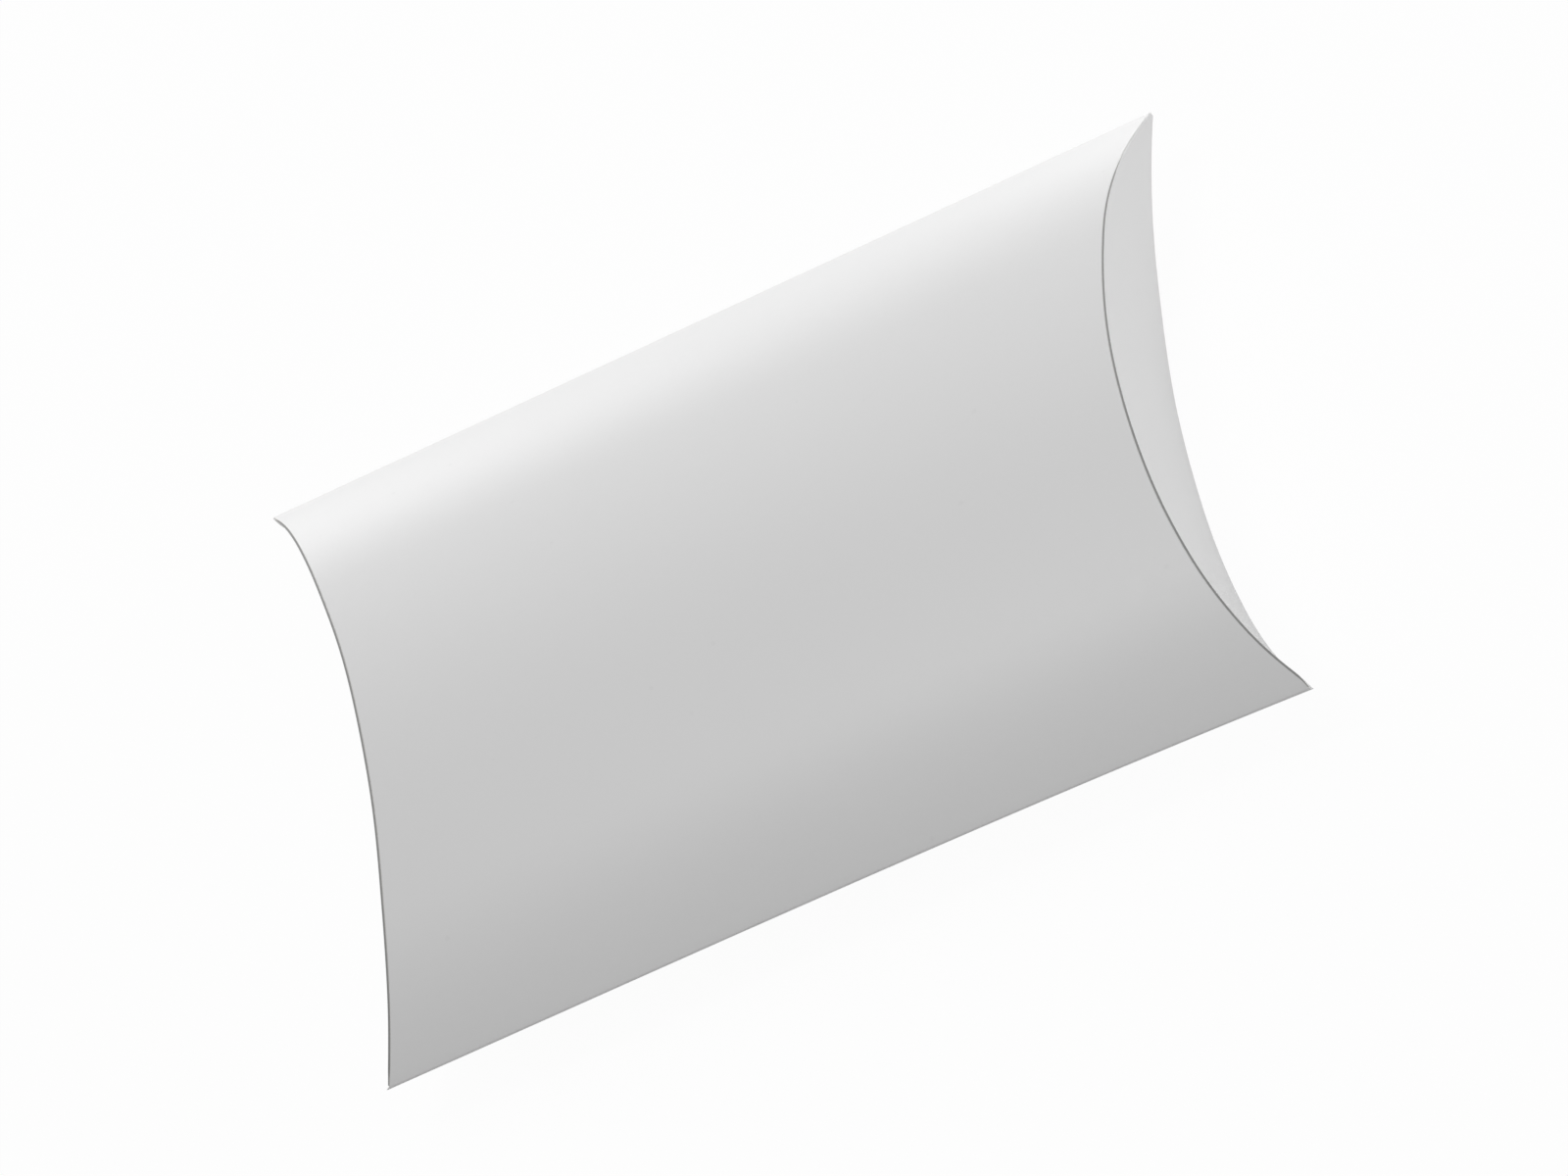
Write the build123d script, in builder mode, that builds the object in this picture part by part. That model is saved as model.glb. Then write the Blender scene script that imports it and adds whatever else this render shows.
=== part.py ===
from build123d import *
from math import acos, atan, cos, degrees, radians, sin, sqrt, tan
import os

os.makedirs("parts", exist_ok=True)

# A folded pillow box of solid board. X runs along the box, Y across it and Z up through its two
# bellies. The origin is the lowest point of the back panel, which is what the box lies on.

# Sizes of the closed box, in millimetres and degrees
LENGTH = 180.0            # from corner tip to corner tip along a side crease
WIDTH = 120.4             # from side crease to side crease
HEIGHT = 29.4             # over the two bellies
BOARD = 0.45              # thickness of the board
SIDE_ANGLE = 33.5         # slope at which each panel leaves a side crease
SHOULDER_REACH = 26.1     # how far in from a side crease a panel keeps its tighter bend

# Free play where the leaves of the blank fold and tuck
SCORE_GAP = 0.1           # between two leaves at the scored crease that joins them
TUCK_GAP = 0.3            # between an inner flap and the outer flap that covers it

# The inner flaps stop a little above the straight line between the corner tips
INNER_EDGE_LIFT = 1.6

# The glued side seam
GLUE_FILM = 0.1           # thickness of the adhesive
GLUE_GAP = 0.07           # between the adhesive and each of the two boards it bonds
TAB_WIDTH = 14.0          # how far the glue tab reaches in from its side crease
TAB_END_GAP = 5.0         # from the end creases to the tab, where the tab is narrowest
TAB_TAPER = 12.0          # how much shorter the tab is at its free edge, at each end
GLUE_MARGIN = 1.5         # bare border round the adhesive

# Overrun of every cutting shape
OVERRUN = 5.0

half_length = LENGTH / 2
half_width = WIDTH / 2
half_height = HEIGHT / 2
side_angle = radians(SIDE_ANGLE)

# Each panel is an arch of three tangent arcs: a shoulder up from each side crease and a wide crown
# between them. A shoulder rises by its reach times the tangent of its mean slope, and the crown by
# its own reach times the tangent of half its end slope. The two rises add up to half the height,
# which is a quadratic in the tangent of half the slope where a shoulder meets the crown.
crown_reach = half_width - SHOULDER_REACH
side_tangent = tan(side_angle / 2)
square_term = crown_reach * side_tangent
linear_term = half_height * side_tangent + half_width
constant_term = half_height - SHOULDER_REACH * side_tangent
root_term = sqrt(linear_term**2 - 4 * square_term * constant_term)
crown_angle = 2 * atan((linear_term - root_term) / (2 * square_term))
crown_radius = crown_reach / sin(crown_angle)
shoulder_radius = SHOULDER_REACH / (sin(side_angle) - sin(crown_angle))

# An inner flap's crease is set back from the outer flap's by one board and the tuck's free play
set_back = BOARD + TUCK_GAP


def arch_face(growth):
    """The area between an arch and its chord, with the arch moved outwards by growth."""
    shoulder = shoulder_radius + growth
    foot_angle = acos(shoulder_radius * cos(side_angle) / shoulder)
    foot = half_width - shoulder_radius * sin(side_angle) + shoulder * sin(foot_angle)
    shoulder_turn = degrees(foot_angle - crown_angle)
    with BuildSketch() as face:
        with BuildLine():
            rise = JernArc((-foot, 0), (cos(foot_angle), sin(foot_angle)), shoulder, -shoulder_turn)
            crown = JernArc(rise @ 1, rise % 1, crown_radius + growth, -2 * degrees(crown_angle))
            fall = JernArc(crown @ 1, crown % 1, shoulder, -shoulder_turn)
            Line(fall @ 1, rise @ 0)
        make_face()
    return face.sketch


def arch_band(outer, inner):
    """The band between the arch moved outwards by outer and the same arch moved by inner."""
    with BuildSketch() as band:
        add(arch_face(outer))
        add(arch_face(inner), mode=Mode.SUBTRACT)
    return band.sketch


def lens_face():
    """The whole section of the closed box: two arches on one chord."""
    with BuildSketch() as lens:
        add(arch_face(0))
        mirror(about=Plane.XZ)
    return lens.sketch


def section_plane(up):
    """A plane across the box at its middle, with its own Y up, or down where up is -1."""
    return Plane(origin=(0, 0, half_height), x_dir=(0, up, 0), z_dir=(1, 0, 0))


def end_plane(end, inset):
    """A level plane at the corner tips of one end, moved in by inset, with its own Y inwards."""
    return Plane(
        origin=(end * (half_length - inset), 0, half_height), x_dir=(0, end, 0), z_dir=(0, 0, 1)
    )


def end_notches(inset):
    """What is cut from both ends of a panel: all that lies beyond end creases set in by inset."""
    with BuildPart() as notches:
        for end in (1, -1):
            with BuildSketch(end_plane(end, inset)):
                add(arch_face(BOARD + SCORE_GAP))
                Rectangle(
                    WIDTH + 2 * OVERRUN, inset + OVERRUN, align=(Align.CENTER, Align.MAX)
                )
            extrude(amount=half_height + OVERRUN, both=True)
    return notches.part


def panel(up, inset):
    """A belly of the box: an arch along the whole length, cut to the curve of its end creases."""
    with BuildPart() as shell:
        with BuildSketch(section_plane(up)):
            add(arch_band(0, -BOARD))
        extrude(amount=half_length, both=True)
        add(end_notches(inset), mode=Mode.SUBTRACT)
    return shell


# The front panel is the upper arch. The back panel is the lower one, longer by a set-back at each
# end, because its flaps close over those of the front panel.
front_panel = panel(1, set_back)
back_panel = panel(-1, 0)

# The glue tab folds up from the back panel's far side crease and lies inside the front panel.
# It tapers towards its free edge, so that it stays clear of the end creases.
tab_half_length = half_length - set_back - TAB_END_GAP


def seam_strip(depth, thickness, margin):
    """A strip behind the front panel's seam edge, at a depth, smaller all round by margin."""
    root_x = tab_half_length - margin
    edge_x = root_x - TAB_TAPER
    root_y = half_width - margin
    edge_y = half_width - TAB_WIDTH + margin
    with BuildPart() as strip:
        with BuildSketch(section_plane(1)):
            add(arch_band(-depth, -depth - thickness))
        extrude(amount=half_length, both=True)
        with BuildSketch(Plane.XY):
            with BuildLine():
                Polyline(
                    (-root_x, root_y), (root_x, root_y), (edge_x, edge_y), (-edge_x, edge_y), close=True
                )
            make_face()
        extrude(amount=HEIGHT, mode=Mode.INTERSECT)
    return strip


glue_line = seam_strip(BOARD + GLUE_GAP, GLUE_FILM, GLUE_MARGIN)
glue_tab = seam_strip(BOARD + GLUE_FILM + 2 * GLUE_GAP, BOARD, 0)


def outer_flap(end):
    """The flap on the back panel: a wall that follows the crease and ends level with the front."""
    with BuildPart() as flap:
        with BuildSketch(end_plane(end, 0)):
            add(arch_band(BOARD, 0))
        extrude(amount=half_height, both=True)
        with BuildSketch(section_plane(1)):
            add(lens_face())
        extrude(amount=half_length, both=True, mode=Mode.INTERSECT)
    return flap


def inner_flap(end):
    """The flap on the front panel: it tucks behind the outer flap and stops near half height."""
    with BuildPart() as flap:
        with BuildSketch(end_plane(end, set_back)):
            add(arch_band(BOARD, 0))
        extrude(amount=half_height)
        with BuildSketch(section_plane(1)):
            add(arch_face(0))
            Rectangle(
                WIDTH, INNER_EDGE_LIFT, align=(Align.CENTER, Align.MIN), mode=Mode.SUBTRACT
            )
        extrude(amount=half_length, both=True, mode=Mode.INTERSECT)
    return flap


right_outer_flap = outer_flap(1)
right_inner_flap = inner_flap(1)
left_outer_flap = outer_flap(-1)
left_inner_flap = inner_flap(-1)

front_panel.part.label = "front_panel"
export_step(front_panel.part, "parts/front_panel.step")
back_panel.part.label = "back_panel"
export_step(back_panel.part, "parts/back_panel.step")
glue_line.part.label = "glue_line"
export_step(glue_line.part, "parts/glue_line.step")
glue_tab.part.label = "glue_tab"
export_step(glue_tab.part, "parts/glue_tab.step")
right_outer_flap.part.label = "right_outer_flap"
export_step(right_outer_flap.part, "parts/right_outer_flap.step")
right_inner_flap.part.label = "right_inner_flap"
export_step(right_inner_flap.part, "parts/right_inner_flap.step")
left_outer_flap.part.label = "left_outer_flap"
export_step(left_outer_flap.part, "parts/left_outer_flap.step")
left_inner_flap.part.label = "left_inner_flap"
export_step(left_inner_flap.part, "parts/left_inner_flap.step")
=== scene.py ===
"""The look of a folded pillow box of white board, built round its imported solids."""

import logging
import math
from dataclasses import dataclass
from enum import Enum
from typing import Union

import bmesh
import bpy
from mathutils import Matrix, Vector
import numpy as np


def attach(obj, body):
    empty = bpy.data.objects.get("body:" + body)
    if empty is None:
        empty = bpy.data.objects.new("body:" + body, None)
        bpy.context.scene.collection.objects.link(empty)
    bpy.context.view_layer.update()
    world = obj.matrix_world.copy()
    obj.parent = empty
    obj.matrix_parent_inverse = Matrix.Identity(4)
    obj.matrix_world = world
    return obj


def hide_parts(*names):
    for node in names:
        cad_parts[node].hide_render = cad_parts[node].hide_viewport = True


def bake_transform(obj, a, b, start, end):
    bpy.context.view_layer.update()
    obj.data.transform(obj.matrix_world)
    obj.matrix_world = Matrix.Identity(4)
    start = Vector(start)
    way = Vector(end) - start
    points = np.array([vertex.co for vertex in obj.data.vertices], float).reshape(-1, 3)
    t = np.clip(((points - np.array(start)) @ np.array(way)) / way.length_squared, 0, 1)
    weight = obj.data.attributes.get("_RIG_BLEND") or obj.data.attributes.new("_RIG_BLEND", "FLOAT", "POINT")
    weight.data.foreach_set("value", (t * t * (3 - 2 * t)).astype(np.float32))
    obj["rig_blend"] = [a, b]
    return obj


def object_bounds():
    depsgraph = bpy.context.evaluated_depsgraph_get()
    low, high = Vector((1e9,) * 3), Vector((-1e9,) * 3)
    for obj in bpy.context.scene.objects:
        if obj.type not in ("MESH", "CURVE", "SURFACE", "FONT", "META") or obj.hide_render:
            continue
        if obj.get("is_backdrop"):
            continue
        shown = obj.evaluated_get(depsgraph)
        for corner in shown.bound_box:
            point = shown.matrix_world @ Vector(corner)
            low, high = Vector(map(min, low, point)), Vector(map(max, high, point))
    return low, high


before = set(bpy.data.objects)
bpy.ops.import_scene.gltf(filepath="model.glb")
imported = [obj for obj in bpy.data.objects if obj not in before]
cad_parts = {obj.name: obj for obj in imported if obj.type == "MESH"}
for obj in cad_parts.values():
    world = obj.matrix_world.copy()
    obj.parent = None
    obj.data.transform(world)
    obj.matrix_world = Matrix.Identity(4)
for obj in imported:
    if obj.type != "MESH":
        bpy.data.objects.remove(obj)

log = logging.getLogger("pillow_box")

MM = 0.001
QUARTER_TURN = math.pi / 2
SIDE_ATTRIBUTE = "board_side"
FOLD_ATTRIBUTE = "fold_share"
TURN_ATTRIBUTE = "turn_share"
WELD_DISTANCE = 0.0005 * MM
SMOOTH_ANGLE = math.radians(40.0)
ABOVE_ZERO = 1e-24  # keeps a sum of fourth powers off zero, where it is divided by


class Belly(Enum):
    """The two arched panels, by the way each one bulges."""

    FRONT = 1
    BACK = -1


class End(Enum):
    """The two ends of the box, by their direction along its length."""

    RIGHT = 1
    LEFT = -1


class Cut(Enum):
    """The borders of a leaf that are cut edges."""

    COLUMNS = "the ends of the columns"
    ROWS = "the first and the last row"
    ALL = "every border"


# Where a face lies on its leaf, by the mean side of its points: 0 on the coated face, 1 on the bare
# back, a half at the ends of the columns, and a quarter or three quarters beside the end rows
BARE_ABOVE = 0.6
CUT_BANDS = {
    Cut.COLUMNS: ((0.4, 0.6),),
    Cut.ROWS: ((0.01, 0.4), (0.6, 0.99)),
    Cut.ALL: ((0.01, 0.99),),
}


class Slot(Enum):
    """The record's material slots."""

    BOARD = "white_board"
    ADHESIVE = "adhesive"


Number = Union["Formula", float]
Triple = tuple[float, float, float]


def feed(tree: bpy.types.NodeTree, socket: bpy.types.NodeSocket, value: Number) -> None:
    """Gives an input its value.

    Args:
        tree: the tree that the input is in.
        socket: the input.
        value: a formula, which is linked to it, or a number, which is set on it.
    """
    if isinstance(value, Formula):
        tree.links.new(value.socket, socket)
    else:
        socket.default_value = value


class Formula:
    """A value that a node tree works out, with ordinary arithmetic on it."""

    def __init__(self, tree: bpy.types.NodeTree, socket: bpy.types.NodeSocket) -> None:
        """Keeps the tree and the socket that gives the value."""
        self.tree = tree
        self.socket = socket

    def _math(self, operation: str, *others: Number) -> "Formula":
        """Adds one Math node.

        Args:
            operation: the node's operation, as Blender names it.
            others: the operands after this one.

        Returns:
            The node's result.
        """
        node = self.tree.nodes.new("ShaderNodeMath")
        node.operation = operation
        for socket, value in zip(node.inputs, (self, *others)):
            feed(self.tree, socket, value)
        return Formula(self.tree, node.outputs[0])

    def __add__(self, other: Number) -> "Formula":
        """Returns the sum."""
        return self._math("ADD", other)

    __radd__ = __add__

    def __sub__(self, other: Number) -> "Formula":
        """Returns the difference."""
        return self._math("SUBTRACT", other)

    def __rsub__(self, other: Number) -> "Formula":
        """Returns the difference from the other value."""
        return self._math("MULTIPLY", -1.0) + other

    def __mul__(self, other: Number) -> "Formula":
        """Returns the product."""
        return self._math("MULTIPLY", other)

    __rmul__ = __mul__

    def __truediv__(self, other: Number) -> "Formula":
        """Returns the quotient."""
        return self._math("DIVIDE", other)

    def __neg__(self) -> "Formula":
        """Returns the value with its sign turned round."""
        return self._math("MULTIPLY", -1.0)

    def sine(self) -> "Formula":
        """Returns the sine."""
        return self._math("SINE")

    def cosine(self) -> "Formula":
        """Returns the cosine."""
        return self._math("COSINE")

    def tangent(self) -> "Formula":
        """Returns the tangent."""
        return self._math("TANGENT")

    def root(self) -> "Formula":
        """Returns the square root."""
        return self._math("SQRT")

    def floor(self) -> "Formula":
        """Returns the whole number at or below the value."""
        return self._math("FLOOR")

    def size(self) -> "Formula":
        """Returns the value without its sign."""
        return self._math("ABSOLUTE")

    def sign(self) -> "Formula":
        """Returns 1, 0 or -1."""
        return self._math("SIGN")

    def least(self, other: Number) -> "Formula":
        """Returns the smaller of the two values."""
        return self._math("MINIMUM", other)

    def most(self, other: Number) -> "Formula":
        """Returns the larger of the two values."""
        return self._math("MAXIMUM", other)

    def over(self, other: Number) -> "Formula":
        """Returns 1 where the value is above the other one, and 0 elsewhere."""
        return self._math("GREATER_THAN", other)

    def heading(self, run: Number) -> "Formula":
        """Returns the angle of a line that rises by this value over a run."""
        return self._math("ARCTAN2", run)

    def share(self, start: Number, end: Number) -> "Formula":
        """Returns how far the value is from start to end, from 0 to 1."""
        return ((self - start) / (end - start)).most(0.0).least(1.0)

    def choose(self, value: Number, other: Number) -> "Formula":
        """Returns a value where this one is 1, and the other where this one is 0."""
        return (value - other) * self + other


@dataclass(frozen=True)
class Point:
    """Three formulas that make a place or a direction."""

    x: Number
    y: Number
    z: Number

    def moved(self, way: "Point", reach: Number) -> "Point":
        """Returns the place that lies some reach away along a direction."""
        return Point(self.x + way.x * reach, self.y + way.y * reach, self.z + way.z * reach)


class ShapeTree:
    """A Geometry Nodes tree with named inputs, made anew for each shape."""

    def __init__(self, name: str) -> None:
        """Makes the empty tree.

        Args:
            name: what the tree makes.
        """
        self.tree = bpy.data.node_groups.new(name, "GeometryNodeTree")
        self.tree.interface.new_socket("Geometry", in_out="INPUT", socket_type="NodeSocketGeometry")
        self.tree.interface.new_socket("Geometry", in_out="OUTPUT", socket_type="NodeSocketGeometry")
        self.source = self.tree.nodes.new("NodeGroupInput")
        self.result = self.tree.nodes.new("NodeGroupOutput")
        self.values: dict[str, float] = {}

    def number(self, name: str, value: float) -> Formula:
        """Adds a named input.

        Args:
            name: the input's name.
            value: what the modifier will give it.

        Returns:
            The input as a formula.
        """
        item = self.tree.interface.new_socket(name, in_out="INPUT", socket_type="NodeSocketFloat")
        self.values[item.identifier] = value
        return Formula(self.tree, self.source.outputs[name])

    def given(self, owner: object, *names: str) -> list[Formula]:
        """Adds an input for each of an owner's sizes, under the size's own name, in that order."""
        labels = [name.replace("_", " ").capitalize() for name in names]
        return [self.number(label, getattr(owner, name)) for label, name in zip(labels, names)]

    def node(self, kind: str, **settings: object) -> bpy.types.Node:
        """Adds a node and sets its own settings.

        Args:
            kind: the node's type.
            settings: its properties by name.

        Returns:
            The node.
        """
        node = self.tree.nodes.new(kind)
        for name, value in settings.items():
            setattr(node, name, value)
        return node

    def join(self, output: bpy.types.NodeSocket, target: bpy.types.NodeSocket) -> None:
        """Links two sockets."""
        self.tree.links.new(output, target)

    def index(self) -> Formula:
        """Returns the number of each point."""
        return Formula(self.tree, self.node("GeometryNodeInputIndex").outputs[0])

    def vector(self, place: Point) -> bpy.types.NodeSocket:
        """Joins three formulas to a vector.

        Args:
            place: the three formulas.

        Returns:
            The vector's socket.
        """
        node = self.node("ShaderNodeCombineXYZ")
        for socket, value in zip(node.inputs, (place.x, place.y, place.z)):
            feed(self.tree, socket, value)
        return node.outputs[0]

    def noise(self, place: Point, scale: Number, seed: Number) -> Formula:
        """Adds smooth unevenness about zero.

        Args:
            place: where it is read.
            scale: how many waves there are to a metre.
            seed: which pattern is drawn.

        Returns:
            A value from about -0.5 to 0.5.
        """
        node = self.node("ShaderNodeTexNoise", noise_dimensions="4D")
        self.join(self.vector(place), node.inputs["Vector"])
        for name, value in (("W", seed), ("Scale", scale), ("Detail", 1.0)):
            feed(self.tree, node.inputs[name], value)
        return Formula(self.tree, node.outputs[0]) - 0.5

    def store(self, mesh: bpy.types.NodeSocket, name: str, value: Number) -> bpy.types.NodeSocket:
        """Keeps a value on each point.

        Args:
            mesh: the mesh.
            name: the name that the value is kept under.
            value: the value.

        Returns:
            The mesh with the value.
        """
        node = self.node("GeometryNodeStoreNamedAttribute", data_type="FLOAT", domain="POINT")
        self.join(mesh, node.inputs["Geometry"])
        node.inputs["Name"].default_value = name
        feed(self.tree, node.inputs["Value"], value)
        return node.outputs[0]

    def place(self, mesh: bpy.types.NodeSocket, place: Point) -> bpy.types.NodeSocket:
        """Moves each point.

        Args:
            mesh: the mesh.
            place: where its points go.

        Returns:
            The moved mesh.
        """
        node = self.node("GeometryNodeSetPosition")
        self.join(mesh, node.inputs["Geometry"])
        self.join(self.vector(place), node.inputs["Position"])
        return node.outputs[0]

    def paint(
        self, mesh: bpy.types.NodeSocket, material: bpy.types.Material, mask: Formula | None = None
    ) -> bpy.types.NodeSocket:
        """Gives faces a material.

        Args:
            mesh: the mesh.
            material: the material.
            mask: which faces get it, above zero, or none for all of them.

        Returns:
            The mesh with the material.
        """
        node = self.node("GeometryNodeSetMaterial")
        self.join(mesh, node.inputs["Geometry"])
        if mask is not None:
            self.join(mask.socket, node.inputs["Selection"])
        node.inputs["Material"].default_value = material
        return node.outputs[0]

    def bake(self, name: str) -> bpy.types.Object:
        """Runs the tree once and keeps its result as a plain mesh.

        Args:
            name: the new object's name.

        Returns:
            The object, with no modifier left on it.
        """
        carrier = bpy.data.objects.new(name, bpy.data.meshes.new(name + "_carrier"))
        bpy.context.scene.collection.objects.link(carrier)
        modifier = carrier.modifiers.new("shape", "NODES")
        modifier.node_group = self.tree
        for identifier, value in self.values.items():
            modifier[identifier] = value
        graph = bpy.context.evaluated_depsgraph_get()
        mesh = bpy.data.meshes.new_from_object(carrier.evaluated_get(graph), depsgraph=graph)
        carrier.modifiers.clear()
        carrier.data = mesh
        mesh.name = name
        return carrier


@dataclass(frozen=True)
class BoxSizes:
    """The sizes of the box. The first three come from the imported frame."""

    half_length: float
    half_width: float
    half_height: float
    board: float = 0.45 * MM
    side_angle: float = math.radians(33.5)  # slope of a panel beside a side crease
    shoulder_reach: float = 26.1 * MM  # how far in from there a panel keeps its tighter bend
    side_fold: float = 0.5 * MM  # outer radius of a side crease
    back_end_fold: float = 0.4 * MM  # outer radius of the back panel's end creases
    front_end_fold: float = 0.13 * MM  # outer radius of the front panel's end creases
    thin_fold: float = 0.5  # largest such radius, as a share of the arch's height there
    set_back: float = 0.48 * MM  # how far the front panel's end creases lie inside the back's
    set_back_rise: float = 0.6 * MM  # height of the arch from which they do so in full
    hinge_set_back: float = 0.75 * MM  # the same distance between the solids' hinges
    inner_edge_lift: float = 1.6 * MM  # from mid-height up to an inner flap's cut edge
    side_bow: float = 0.957 * MM  # how far the near side crease draws in at its middle
    bow_skew: float = 0.5  # how much more of that lies towards the right end
    side_skew: float = 0.12 * MM  # how far the near side crease draws in at the right end
    seam_bow: float = 0.15 * MM  # how far the seam draws in at its middle
    seam_skew: float = 0.45 * MM  # how far it draws in at the left end
    seam_shift: float = 0.13 * MM  # how far it draws in everywhere
    tip_flare: float = 0.36  # how far an end crease may run outwards, in heights of the arch
    tab_depth: float = 0.69 * MM  # from the front panel's face down to the glue tab's
    tab_fold: float = 0.47 * MM  # outer radius of the fold that turns up the glue tab

    @staticmethod
    def from_frame() -> "BoxSizes":
        """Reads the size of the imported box.

        Returns:
            The sizes with its half length, half width and half height.
        """
        low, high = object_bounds()
        extent = (high - low) / 2
        return BoxSizes(half_length=extent.x, half_width=extent.y, half_height=extent.z)

    @property
    def slope_start(self) -> tuple[float, float]:
        """How far in and up from the side crease's outermost line the rounded fold ends."""
        sine, cosine = math.sin(self.side_angle), math.cos(self.side_angle)
        return self.side_fold * (1 - sine), self.side_fold * cosine

    @property
    def seam_reach(self) -> float:
        """How far the front panel runs straight on past its last bend, to its cut edge."""
        return self.slope_start[0] / math.cos(self.side_angle)

    @property
    def tab_fold_centre(self) -> tuple[float, float]:
        """Where the seam's fold turns.

        It is tangent to the back panel, and to a line one tab depth inside the front panel.

        Returns:
            How far it lies from the middle of the width, and how far below the middle plane.
        """
        sine, cosine = math.sin(self.side_angle), math.cos(self.side_angle)
        apex = self.half_width - self.side_fold + self.side_fold / sine
        reach = apex - (self.tab_depth / 2 + self.tab_fold) / sine
        return reach, self.tab_depth / (2 * cosine)

    @property
    def tab_fold_start(self) -> float:
        """How far from the middle of the width the seam's fold starts and ends."""
        return self.tab_fold_centre[0] + self.tab_fold * math.sin(self.side_angle)

    def slope_at(self, y: float, depth: float) -> float:
        """Gives a shoulder's slope at y, at a depth under its face, positive on both sides."""
        centre = (self.crown_radius - self.shoulder_radius) * math.sin(self.crown_angle)
        return math.asin((y - centre) / (self.shoulder_radius - depth))

    @property
    def crown_angle(self) -> float:
        """The slope at which a shoulder meets the crown.

        The rises of the shoulder and the crown add up to the panel's height, which is a quadratic
        in the tangent of half this slope.

        Returns:
            The slope in radians.
        """
        fold_reach, fold_rise = self.slope_start
        width = self.half_width - fold_reach
        height = self.half_height - fold_rise
        tangent = math.tan(self.side_angle / 2)
        square = (width - self.shoulder_reach) * tangent
        linear = height * tangent + width
        constant = height - self.shoulder_reach * tangent
        return 2 * math.atan((linear - math.sqrt(linear**2 - 4 * square * constant)) / (2 * square))

    @property
    def crown_radius(self) -> float:
        """The bend of the wide middle of a panel."""
        crown_reach = self.half_width - self.slope_start[0] - self.shoulder_reach
        return crown_reach / math.sin(self.crown_angle)

    @property
    def shoulder_radius(self) -> float:
        """The bend of a panel beside its side creases."""
        return self.shoulder_reach / (math.sin(self.side_angle) - math.sin(self.crown_angle))


@dataclass(frozen=True)
class CreaseDrift:
    """How far an end crease runs inside its nominal curve, in millimetres.

    It is a mean, three waves along the crease, and a bend at each of its two corner tips.
    """

    mean: float
    even: Triple
    odd: Triple
    near_tip: float
    seam_tip: float
    tip_share: float = 0.2  # how far a tip's bend reaches, as a share of the half width

    def formula(self, shape: ShapeTree, label: str, across: Formula) -> Formula:
        """Gives the drift at a place across the box.

        Args:
            shape: the tree that the formula belongs to.
            label: which crease it is, for the names of the inputs.
            across: the place, from -1 at one side crease to 1 at the seam's.

        Returns:
            The drift in metres, positive towards the middle of the length.
        """
        total = shape.number(f"{label} drift", self.mean * MM)
        for number, (even, odd) in enumerate(zip(self.even, self.odd), start=1):
            turn = across * (math.pi * number)
            total = total + turn.cosine() * shape.number(f"{label} even wave {number}", even * MM)
            total = total + turn.sine() * shape.number(f"{label} odd wave {number}", odd * MM)
        for side, name, bend in ((-1.0, "near tip", self.near_tip), (1.0, "seam tip", self.seam_tip)):
            share = (across * side).share(1.0 - self.tip_share, 1.0)
            total = total + share * share * shape.number(f"{label} {name}", bend * MM)
        return total


LEFT_CREASE = CreaseDrift(
    -0.05, (0.19, 0.20, -0.13), (0.02, 0.03, -0.01), near_tip=0.18, seam_tip=-0.5, tip_share=0.12
)
RIGHT_UPPER = CreaseDrift(
    -0.20, (-0.11, 0.04, -0.05), (-0.05, -0.06, 0.06), near_tip=-0.82, seam_tip=-0.15
)
RIGHT_LOWER = CreaseDrift(
    -0.19, (0.19, 0.09, -0.07), (-0.13, 0.0, 0.04), near_tip=-0.53, seam_tip=0.13
)
DRIFTS = {
    (End.RIGHT, Belly.FRONT): RIGHT_UPPER,
    (End.RIGHT, Belly.BACK): RIGHT_LOWER,
    (End.LEFT, Belly.FRONT): LEFT_CREASE,
    (End.LEFT, Belly.BACK): LEFT_CREASE,
}


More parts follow.
